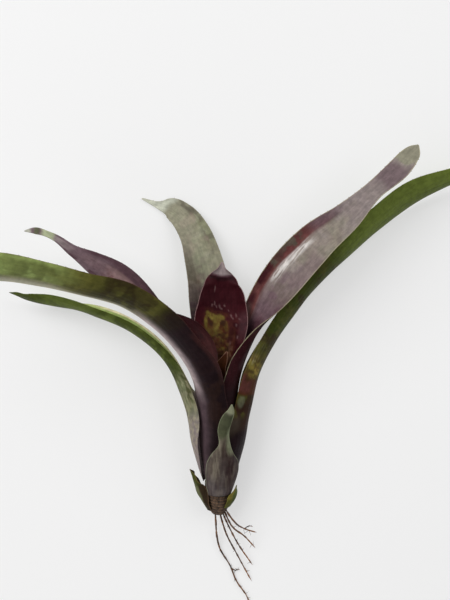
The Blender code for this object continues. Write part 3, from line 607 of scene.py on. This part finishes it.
def leaf_sheet(leaf, seed):
    """A leaf's middle surface: a circular arc at each place along the keel.

    Point = keel + across * sin(arc * curve) / curve + inward * (1 - cos(arc * curve)) / curve, and then a
    slight wave along its facing. Returns the points, the directions that look inwards, the distance along the
    keel, the place across from -1 to 1, and the arc from the keel, all as grids.
    """
    rows = section_rows(leaf)
    knots = run_along(rows[:, :3])
    places = np.linspace(0.0, knots[-1], 2 + round(knots[-1] / ROW_SPACING))
    section = through(knots, rows, places)
    keel = section[:, :3]
    clasp = ease(np.clip(section[:, 7:], 0.0, 1.0), 0.0, 1.0)
    along = unit(AXIS * clasp + unit(np.gradient(keel, places, axis=0)) * (1 - clasp))
    above = unit(UP - along * along[:, 2:])
    roll = np.radians(section[:, 6:7])
    inward = np.cos(roll) * above + np.sin(roll) * np.cross(along, above)
    across = np.cross(inward, along)

    place = np.broadcast_to(np.linspace(-1.0, 1.0, STRIPS_ACROSS + 1), (len(places), STRIPS_ACROSS + 1))
    arc = np.where(place < 0, place * section[:, 3:4], place * section[:, 4:5])
    curve = section[:, 5:6]
    side = np.sin(arc * curve) / curve
    rise = (1 - np.cos(arc * curve)) / curve
    points = keel[:, None] + side[..., None] * across[:, None] + rise[..., None] * inward[:, None]

    facing = unit(np.cross(np.gradient(points, axis=0), np.gradient(points, axis=1)))
    length = np.broadcast_to(places[:, None], place.shape)
    free = (1 - clasp) * ease(places[-1] - length, 0.0, STILL_TIP)
    wave = cloud(length / WAVE_LENGTH + seed, arc / WAVE_WIDTH + 7, seed) - 0.5
    points = points + (free * wave * WAVE_HEIGHT)[..., None] * facing
    return points, facing, length, place, arc


def wash_mask(wash, along, across):
    """A spot fades with the distance from its middle, and a wash with the distance past its edges."""
    if isinstance(wash, Spot):
        away = np.hypot((along - wash.along) / (wash.long / 2), (across - wash.across) / (wash.wide / 2))
        return 1 - ease(away, *SPOT_EDGE)
    mask = between(along, wash.start, wash.end, wash.soft)
    return mask * between(across, wash.behind, wash.ahead, wash.fade)


def blotches(wash, length, arc, seed):
    """Irregular blotches of the wash's patch size: a coarse and a fine cloud, cut at one level."""
    wide, tall = arc / wash.patch, length / (wash.run * wash.patch)
    coarse = cloud(wide, tall, seed + 20)
    fine = cloud(2.5 * wide, 2.5 * tall, seed + 40)
    return ease(0.65 * coarse + 0.35 * fine, *BLOTCH_EDGE)


def painted(base, washes, length, place, arc, seed):
    """A face's colours: the base, and each wash or spot over it with an uneven edge."""
    colour = np.broadcast_to(base, (*length.shape, 3)).copy()
    along = length + END_WANDER * (cloud(arc / 5 + 3, length / 9, seed) - 0.5)
    across = place + SIDE_WANDER * (cloud(arc / 8 + 11, length / 14, seed + 1) - 0.5)
    for number, wash in enumerate(washes):
        mask = wash_mask(wash, along, across)
        if isinstance(wash, Wash) and wash.patch:
            mask = mask * blotches(wash, length, arc, seed + number)
        mask = np.clip(mask * wash.strength, 0.0, 1.0)[..., None]
        colour = colour * (1 - mask) + wash.colour * mask
    return colour


def grid_quads(rows, columns):
    """The quads of a grid of points, wound so that rows cross columns outwards."""
    index = np.arange(rows * columns).reshape(rows, columns)
    corners = (index[:-1, :-1], index[1:, :-1], index[1:, 1:], index[:-1, 1:])
    return np.stack(corners, axis=-1).reshape(-1, 4)


def margin_spines(points, facing, row_step, seed, height):
    """Small forward-leaning spines along both margins: a square foot sunk in the margin, and a point.

    Point = margin + height * (outward + lean * forward). Returns each spine's four foot corners and its tip.
    """
    random = np.random.default_rng(seed)
    rows = points.shape[0]
    feet, tips = [], []
    for edge, inner in ((0, 3), (-1, -4)):
        picks = np.cumsum(random.uniform(*SPINE_GAPS, rows) / row_step).astype(int)
        picks = picks[(picks > SPINELESS_ROWS) & (picks < rows - SPINELESS_ROWS)]
        root = points[picks, edge]
        outward = unit(root - points[picks, inner])
        forward = unit(points[picks + 1, edge] - points[picks - 1, edge])
        normal = facing[picks, edge] * (1 if edge == 0 else -1)
        tall = height * random.uniform(*SPINE_HEIGHTS, len(picks))[:, None]
        middle = root - SPINE_SUNK * outward
        for along, thick in ((-1, -1), (1, -1), (1, 1), (-1, 1)):
            feet.append(middle + along * SPINE_HALF_LENGTH * forward + thick * SPINE_HALF_THICKNESS * normal)
        tips.append(root + tall * outward + SPINE_LEAN * tall * forward)
    return feet, tips


def spine_mesh(feet, tips):
    """The spines as points and faces: five points each, four sides that meet at the tip, and a bottom."""
    corners = [np.concatenate([feet[i], feet[i + 4]]) for i in range(4)]
    corners.append(np.concatenate(tips))
    count = len(corners[0])
    points = np.stack(corners, axis=1).reshape(-1, 3)
    start = np.arange(count)[:, None] * 5
    sides = np.concatenate([start + np.array([i, (i + 1) % 4, 4]) for i in range(4)])
    return points, sides, start + np.array([0, 3, 2, 1])


def add_piece(name, points, faces, material):
    """A mesh object in the plant's own frame, from points in millimetres and faces of 3 or 4 corners."""
    mesh = bpy.data.meshes.new(name)
    mesh.from_pydata((points - ORIGIN) * MM, [], faces)
    mesh.shade_smooth()
    mesh.materials.append(material)
    piece = bpy.data.objects.new(name, mesh)
    bpy.context.scene.collection.objects.link(piece)
    return piece


def store(mesh, name, kind, values):
    """An attribute with one value, or one colour, a point."""
    attribute = mesh.attributes.new(name, kind, "POINT")
    if kind == "FLOAT_COLOR":
        values = np.concatenate([values, np.ones((len(values), 1))], axis=1)
        attribute.data.foreach_set("color", values.astype(np.float32).ravel())
    else:
        attribute.data.foreach_set("value", values.astype(np.float32))


def store_lengths(mesh, across, along):
    """A UV map in centimetres across and along a leaf, so that every pattern keeps its true size."""
    corners = np.empty(len(mesh.loops), dtype=np.int32)
    mesh.loops.foreach_get("vertex_index", corners)
    places = np.stack([across, along], axis=1)[corners] / 10
    layer = mesh.uv_layers.new(name="lengths")
    layer.uv.foreach_set("vector", places.astype(np.float32).ravel())


def make_leaf(name, leaf, skin, seed):
    """A leaf as a closed sheet: half its thickness to each side of its middle surface.

    Half thickness = half of thin + (thick - thin) * ease(distance to the margin), and each face has grooves
    that run lengthwise: depth * cos(2 pi * arc / groove spacing).
    """
    points, facing, length, place, arc = leaf_sheet(leaf, seed)
    rows, columns = place.shape
    half_arc = np.where(place < 0, -arc[:, :1], arc[:, -1:])
    edge = (1 - np.abs(place)) * half_arc
    from_edge = np.minimum(edge, TIP_THINNING * (length[-1] - length))
    half = THIN / 2 + (LEAF_THICKNESS - THIN) / 2 * ease(from_edge, 0.0, THINNING_STRIP)
    groove = GROOVE_DEPTH * np.cos(2 * np.pi * arc / GROOVE_SPACING)
    groove = groove * ease(from_edge, SMOOTH_STRIP, THINNING_STRIP)
    inner = points + (half + groove)[..., None] * facing
    outer = points - (half + groove)[..., None] * facing

    count = rows * columns
    index = np.arange(count).reshape(rows, columns)
    rim = np.concatenate([index[:-1, 0], index[-1, :-1], index[:0:-1, -1], index[0, :0:-1]])
    ahead = np.roll(rim, -1)
    quads = grid_quads(rows, columns)
    edges = np.stack([ahead, rim, rim + count, ahead + count], axis=-1)
    faces = np.concatenate([quads, quads[:, ::-1] + count, edges]).tolist()

    shown = [inner.reshape(-1, 3), outer.reshape(-1, 3)]
    colours = [
        painted(skin.inner, skin.inner_washes, length, place, arc, seed).reshape(-1, 3),
        painted(skin.outer, skin.outer_washes, length, place, arc, seed + 100).reshape(-1, 3),
    ]
    across = [arc.ravel(), arc.ravel() + OUTER_SHIFT]
    along = [length.ravel(), length.ravel()]
    margin = [edge.ravel(), edge.ravel()]
    if skin.spines:
        feet, tips = margin_spines(points, facing, length[1, 0], seed, skin.spines)
        spines, sides, bottoms = spine_mesh(feet, tips)
        faces += (sides + 2 * count).tolist() + (bottoms + 2 * count).tolist()
        shown.append(spines)
        colours.append(np.broadcast_to(SPINE_BROWN, spines.shape))
        across.append(np.zeros(len(spines)))
        along.append(np.zeros(len(spines)))
        margin.append(np.full(len(spines), INSIDE_MARGIN))

    piece = add_piece(name + "_blade", np.concatenate(shown), faces, leaf_material(name, skin))
    store(piece.data, "skin", "FLOAT_COLOR", np.concatenate(colours))
    store(piece.data, "margin", "FLOAT", np.concatenate(margin))
    store_lengths(piece.data, np.concatenate(across), np.concatenate(along))
    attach(piece, "root")
    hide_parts(name)


def closed_rings(index):
    """The quads between rows of points, where each row is a ring, and each point's neighbour on its ring."""
    beside = np.roll(index, -1, axis=1)
    return np.stack([index[:-1], beside[:-1], beside[1:], index[1:]], axis=-1).reshape(-1, 4), beside


def tube(points, radii, strips):
    """A closed tube round a line of points: each ring is point + radius * (cos a * side + sin a * top)."""
    along = unit(np.gradient(points, axis=0))
    side = unit(np.cross(along, UP + 0.3 * RIGHT))
    top = np.cross(side, along)
    angle = np.linspace(0, 2 * np.pi, strips, endpoint=False)
    ring = np.cos(angle)[None, :, None] * side[:, None] + np.sin(angle)[None, :, None] * top[:, None]
    body = points[:, None] + radii[..., None] * ring
    rows = len(points)
    index = np.arange(rows * strips).reshape(rows, strips)
    quads, beside = closed_rings(index)
    first, last = rows * strips, rows * strips + 1
    start_fan = [(first, b, a) for a, b in zip(index[0], beside[0])]
    end_fan = [(last, a, b) for a, b in zip(index[-1], beside[-1])]
    ends = np.stack([points[0] - along[0] * TUBE_CAP, points[-1] + along[-1] * TUBE_CAP])
    return np.concatenate([body.reshape(-1, 3), ends]), quads.tolist() + start_fan + end_fan


def root_hair(start, random):
    """A short curved hair: start + steps * outward + bend * steps^2, kept off the surface below."""
    outward = unit(random.normal(size=3) * (1.0, 1.0, 0.25))
    steps = np.linspace(0.0, random.uniform(*HAIR_LENGTHS), HAIR_RINGS)[:, None]
    bend = unit(random.normal(size=3) * (1.0, 1.0, 0.2))
    line = start + steps * outward + HAIR_BEND * steps**2 * bend
    line[:, 2] = np.maximum(line[:, 2], HAIR_LOWEST)
    radii = HAIR_RADIUS * (1 - HAIR_TAPER * steps[:, 0] / steps[-1, 0])
    return line, radii, np.tile(ROOT_BROWN, (HAIR_RINGS, 1))


def root_parts():
    """The roots, their side roots and hairs, each as (points, radii, colour of each ring).

    Radius = thickness * (1 - taper * part) * (1 + unevenness * cloud), and the last stretch closes to a tip.
    """
    random = np.random.default_rng(5)
    parts = []
    for seed, points in enumerate(list(ROOTS.values()) + list(ROOTLETS.values())):
        points = np.array(points, dtype=float)
        knots = run_along(points)
        places = np.linspace(0.0, knots[-1], 2 + round(knots[-1] / RING_STEP))
        line = through(knots, points, places)
        part = places / knots[-1]
        thick = ROOT_RADIUS if seed < len(ROOTS) else SIDE_ROOT_SHARE * ROOT_RADIUS
        rough = cloud(places / 1.3, np.full(len(places), seed), seed) - 0.5
        radii = thick * (1 - ROOT_TAPER * part) * (1 + ROOT_UNEVENNESS * rough)
        radii = radii * (1 - ROOT_TIP_TAPER * ease(part, 0.94, 1.0))
        patches = cloud(places / 2.2, np.full(len(places), 9.0), seed)
        pale = np.clip(0.6 * patches + 0.7 * ease(part, 0.6, 1.0), 0, 1)[:, None]
        parts.append((line, radii, ROOT_BROWN * (1 - pale) + ROOT_ORANGE * pale))
        for pick in random.integers(len(line) // 4, len(line) - 4, HAIRS_PER_ROOT):
            parts.append(root_hair(line[pick], random))
    return parts


def make_roots():
    """Every root, side root and hair as a tube, with wider and narrower strips round it, in one piece."""
    shown, faces, colours = [], [], []
    start = 0
    for line, radii, colour in root_parts():
        strips = 10 if radii[0] > 0.2 else 5
        uneven = 1 + 0.12 * np.sin(np.arange(strips) * 2.4 + 0.5 * np.arange(len(line))[:, None])
        points, sides = tube(line, radii[:, None] * uneven, strips)
        shown.append(points)
        faces += [tuple(int(corner) + start for corner in face) for face in sides]
        colours.append(np.concatenate([np.repeat(colour, strips, axis=0), colour[[0, -1]]]))
        start += len(points)
    piece = add_piece("roots", np.concatenate(shown), faces, bark_material("root_bark", 0.75))
    store(piece.data, "skin", "FLOAT_COLOR", np.concatenate(colours))
    return piece


def make_stem():
    """The stem foot: a turned outline whose radius carries the rings that old leaves left.

    Radius = outline + ring depth * ridge(height / ring spacing) + lump depth * cloud.
    """
    inside = LEAF_THICKNESS / 2 + SEAT_GAP
    seats = [(nest_radius(height, nest) - inside, height) for height, nest in SHEATH_SEATS]
    outline = np.array([(0.0, STEM_TOP), *seats, *BARE_END])
    knots = run_along(outline)
    places = np.linspace(0.0, knots[-1], STEM_ROWS)
    radius = np.interp(places, knots, outline[:, 0])
    height = np.interp(places, knots, outline[:, 1])
    turns = np.linspace(0.0, 360.0, STEM_STRIPS + 1)[:-1]
    tall, turn = np.meshgrid(height, turns, indexing="ij")
    bare = ease(-tall, 3.0, 6.0) * ease(radius, 0.5, 2.5)[:, None]
    slant = tall + STEM_RING_SLANT * np.sin(np.radians(turn) * 2 + 1)
    ridge = np.abs(np.sin(np.pi * slant / STEM_RING_SPACING)) - 0.6
    lumps = cloud(turn / 15, tall / 1.6 + 40, 3) - 0.5
    wide = (radius[:, None] + bare * (STEM_RING_DEPTH * ridge + STEM_LUMP_DEPTH * lumps))[..., None]
    angle = np.radians(turn)[..., None]
    points = AXIS_FOOT + AXIS * tall[..., None] + wide * (np.sin(angle) * RIGHT + np.cos(angle) * FRONT)

    # The first and last rows lie on the axis, so one point of each closes an end
    index = np.arange(STEM_ROWS * STEM_STRIPS).reshape(STEM_ROWS, STEM_STRIPS)[1:-1]
    quads, beside = closed_rings(index)
    top_end, foot_end = int(index.min()) - 1, int(index.max()) + 1
    fans = [(top_end, b, a) for a, b in zip(index[0], beside[0])]
    fans += [(foot_end, a, b) for a, b in zip(index[-1], beside[-1])]
    faces = [tuple(int(corner) - top_end for corner in face) for face in quads[:, ::-1].tolist() + fans]
    used = slice(top_end, foot_end + 1)
    piece = add_piece("stem_foot", points.reshape(-1, 3)[used], faces, bark_material("stem_bark", 0.7))
    ripe = np.clip(0.5 + 0.9 * ridge + 0.7 * lumps, 0.0, 1.0).ravel()[used, None]
    store(piece.data, "skin", "FLOAT_COLOR", ROOT_BROWN * 0.6 * (1 - ripe) + STEM_BROWN * ripe)
    return piece


# Materials

def add_node(tree, kind, inputs=None, **settings):
    """A node with its settings, and each input either linked or given a value."""
    made = tree.nodes.new(kind)
    for key, value in settings.items():
        setattr(made, key, value)
    for key, value in (inputs or {}).items():
        if isinstance(value, bpy.types.NodeSocket):
            tree.links.new(value, made.inputs[key])
        else:
            made.inputs[key].default_value = value
    return made


def calculate(tree, operation, first, second=0.0):
    return add_node(tree, "ShaderNodeMath", {0: first, 1: second}, operation=operation).outputs[0]


def remap(tree, value, low, high, to_low, to_high):
    inputs = {"Value": value, "From Min": low, "From Max": high, "To Min": to_low, "To Max": to_high}
    return add_node(tree, "ShaderNodeMapRange", inputs, interpolation_type="SMOOTHSTEP").outputs[0]


def spread(tree, pattern, low, high):
    """A noise pattern, which mostly stays between 0.3 and 0.7, spread from low to high."""
    return remap(tree, pattern, 0.3, 0.7, low, high)


def mix(tree, factor, first, second, blend="MIX"):
    inputs = {0: factor, 6: first, 7: second}
    return add_node(tree, "ShaderNodeMix", inputs, data_type="RGBA", blend_type=blend).outputs[2]


def noise(tree, place, scale, stretch=(1.0, 1.0, 1.0), detail=2.0):
    moved = add_node(tree, "ShaderNodeMapping", {"Vector": place, "Scale": stretch})
    inputs = {"Vector": moved.outputs[0], "Scale": scale, "Detail": detail, "Roughness": 0.55}
    return add_node(tree, "ShaderNodeTexNoise", inputs).outputs[0]


def grey(level):
    return (level, level, level, 1.0)


def leaf_surface_group():
    """Streaks, blotches, pale scales, fine veins and a pale margin laid over a leaf's washes."""
    tree = bpy.data.node_groups.new("leaf_surface", "ShaderNodeTree")
    for direction, name, kind in (
        ("INPUT", "Skin", "Color"), ("INPUT", "Rim Colour", "Color"), ("INPUT", "Margin", "Float"),
        ("INPUT", "Rim", "Float"), ("INPUT", "Bloom", "Float"), ("INPUT", "Gloss", "Float"),
        ("OUTPUT", "Colour", "Color"), ("OUTPUT", "Roughness", "Float"), ("OUTPUT", "Height", "Float"),
    ):
        tree.interface.new_socket(name, in_out=direction, socket_type="NodeSocket" + kind)
    given = tree.nodes.new("NodeGroupInput").outputs
    result = tree.nodes.new("NodeGroupOutput")
    place = add_node(tree, "ShaderNodeUVMap", uv_map="lengths").outputs[0]

    # Each pattern is stretched across and along the leaf
    streaks = noise(tree, place, 1.0, (9.0, 0.8, 1.0), detail=3.0)
    patches = noise(tree, place, 3.2, (1.1, 0.9, 1.0))
    bands = noise(tree, place, 1.0, (0.8, 4.0, 1.0))
    scales = noise(tree, place, 26.0, (1.0, 0.7, 1.0))
    veins = noise(tree, place, 1.0, (36.0, 0.4, 1.0))

    light = spread(tree, patches, 0.86, 1.14)
    for pattern, low, high in ((streaks, 0.93, 1.07), (bands, 0.95, 1.05), (veins, 0.96, 1.04)):
        light = calculate(tree, "MULTIPLY", light, spread(tree, pattern, low, high))
    tone = add_node(tree, "ShaderNodeCombineColor", {0: light, 1: light, 2: light}).outputs[0]
    colour = mix(tree, 1.0, given["Skin"], tone, "MULTIPLY")

    # Pale scales lie thicker on some patches, and the margin's pale line is uneven
    dusted = remap(tree, scales, 0.56, 0.72, 0.0, 1.0)
    dusted = calculate(tree, "MULTIPLY", dusted, remap(tree, patches, 0.4, 0.65, 0.2, 1.0))
    dusted = calculate(tree, "MULTIPLY", dusted, given["Bloom"])
    lifted = mix(tree, 0.07, mix(tree, 1.0, colour, grey(1.5), "MULTIPLY"), grey(0.8))
    colour = mix(tree, dusted, colour, lifted)
    near = calculate(tree, "ADD", given["Margin"], spread(tree, patches, -0.15, 0.15))
    pale = calculate(tree, "MULTIPLY", remap(tree, near, 0.1, 0.45, 1.0, 0.0), given["Rim"])
    colour = mix(tree, pale, colour, given["Rim Colour"])
    tree.links.new(colour, result.inputs["Colour"])

    worn = calculate(tree, "ADD", spread(tree, patches, 0.0, 0.14), remap(tree, scales, 0.4, 0.7, 0.0, 0.1))
    rough = calculate(tree, "SUBTRACT", 0.62, calculate(tree, "MULTIPLY", given["Gloss"], 0.4))
    tree.links.new(calculate(tree, "ADD", rough, worn), result.inputs["Roughness"])
    raised = remap(tree, scales, 0.4, 0.7, 0.0, 0.35)
    height = calculate(tree, "ADD", spread(tree, veins, 0.0, 1.0), raised)
    height = calculate(tree, "ADD", height, spread(tree, bands, 0.0, 0.5))
    tree.links.new(height, result.inputs["Height"])
    return tree


def new_material(name):
    """A material, its node tree and its Principled shader."""
    material = bpy.data.materials.new(name)
    material.use_nodes = True
    return material, material.node_tree, material.node_tree.nodes["Principled BSDF"]


def leaf_material(name, skin):
    """A leaf's material: its washes and its distance from the margin, through the shared leaf surface."""
    material, tree, shader = new_material(name + "_skin")
    surface = add_node(tree, "ShaderNodeGroup", {
        "Skin": add_node(tree, "ShaderNodeAttribute", attribute_name="skin").outputs["Color"],
        "Margin": add_node(tree, "ShaderNodeAttribute", attribute_name="margin").outputs["Fac"],
        "Rim": skin.rim,
        "Rim Colour": (*skin.rim_colour, 1.0),
        "Bloom": skin.bloom,
        "Gloss": skin.gloss,
    }, node_tree=LEAF_SURFACE)
    relief = {"Height": surface.outputs["Height"], "Strength": 0.35, "Distance": 0.00012}
    bump = add_node(tree, "ShaderNodeBump", relief)
    tree.links.new(surface.outputs["Colour"], shader.inputs["Base Color"])
    tree.links.new(surface.outputs["Roughness"], shader.inputs["Roughness"])
    tree.links.new(bump.outputs["Normal"], shader.inputs["Normal"])
    shader.inputs["Specular IOR Level"].default_value = 0.07
    return material


def bark_material(name, roughness):
    """A root's or the stem's material: its painted colour with a fine grain over it."""
    material, tree, shader = new_material(name)
    colour = add_node(tree, "ShaderNodeAttribute", attribute_name="skin").outputs["Color"]
    place = add_node(tree, "ShaderNodeTexCoord").outputs["Object"]
    grain = noise(tree, place, 900.0, (1.0, 0.5, 1.0), detail=4.0)
    level = spread(tree, grain, 0.55, 1.35)
    tone = add_node(tree, "ShaderNodeCombineColor", {0: level, 1: level, 2: level}).outputs[0]
    tree.links.new(mix(tree, 1.0, colour, tone, "MULTIPLY"), shader.inputs["Base Color"])
    bump = add_node(tree, "ShaderNodeBump", {"Height": grain, "Strength": 0.6, "Distance": 0.0002})
    tree.links.new(bump.outputs["Normal"], shader.inputs["Normal"])
    shader.inputs["Roughness"].default_value = roughness
    shader.inputs["Specular IOR Level"].default_value = 0.25
    return material


# Floor, light and camera

def make_floor():
    """A pale floor that glows a little, so that the plant's shadows stay soft."""
    half = FLOOR_HALF
    corners = [(-half, -half, 0), (half, -half, 0), (half, half, 0), (-half, half, 0)]
    mesh = bpy.data.meshes.new("floor")
    mesh.from_pydata(corners, [], [(0, 1, 2, 3)])
    material, _, shader = new_material("pale_floor")
    shader.inputs["Base Color"].default_value = grey(FLOOR_GREY)
    shader.inputs["Emission Color"].default_value = grey(1.0)
    shader.inputs["Emission Strength"].default_value = FLOOR_GLOW
    shader.inputs["Roughness"].default_value = 0.95
    shader.inputs["Specular IOR Level"].default_value = 0.0
    mesh.materials.append(material)
    floor = bpy.data.objects.new("floor", mesh)
    floor.location.z = -FLOOR_DROP
    bpy.context.scene.collection.objects.link(floor)


def aim(thing, place, target=(0.0, 0.0, 0.02)):
    """Puts a lamp at a place, turned so that it looks at the target."""
    from_target = Vector(place) - Vector(target)
    thing.location = place
    thing.rotation_euler = from_target.to_track_quat("Z", "Y").to_euler()


def make_light(name, place, watts):
    lamp = bpy.data.lights.new(name, "AREA")
    lamp.shape = "SQUARE"
    lamp.size = LAMP_SIZE
    lamp.energy = watts
    light = bpy.data.objects.new(name, lamp)
    bpy.context.scene.collection.objects.link(light)
    aim(light, place)


def make_world():
    world = bpy.data.worlds.new("studio")
    world.use_nodes = True
    background = world.node_tree.nodes["Background"]
    background.inputs["Color"].default_value = grey(1.0)
    background.inputs["Strength"].default_value = WORLD_STRENGTH
    bpy.context.scene.world = world


def make_camera():
    """The camera straight above the plant, at the photo's distance and viewing angle."""
    lens = bpy.data.cameras.new("photo_view")
    lens.sensor_fit = "VERTICAL"
    lens.sensor_height = FILM_HEIGHT
    lens.lens = LENS
    lens.clip_start = 0.01
    camera = bpy.data.objects.new("photo_view", lens)
    place = np.array([*CAMERA_OVER, CAMERA_HEIGHT]) - ORIGIN
    camera.location = place * MM
    bpy.context.scene.collection.objects.link(camera)
    bpy.context.scene.camera = camera


LEAF_SURFACE = leaf_surface_group()
for number, (name, leaf) in enumerate(LEAVES.items()):
    make_leaf(name, leaf, SKINS[name], 10 + number)
for piece in (make_roots(), make_stem()):
    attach(piece, "root")
    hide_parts("root_crown")

make_floor()
make_world()
for name, (place, watts) in LAMPS.items():
    make_light(name, place, watts)
make_camera()
bpy.context.scene.view_settings.view_transform = "Standard"
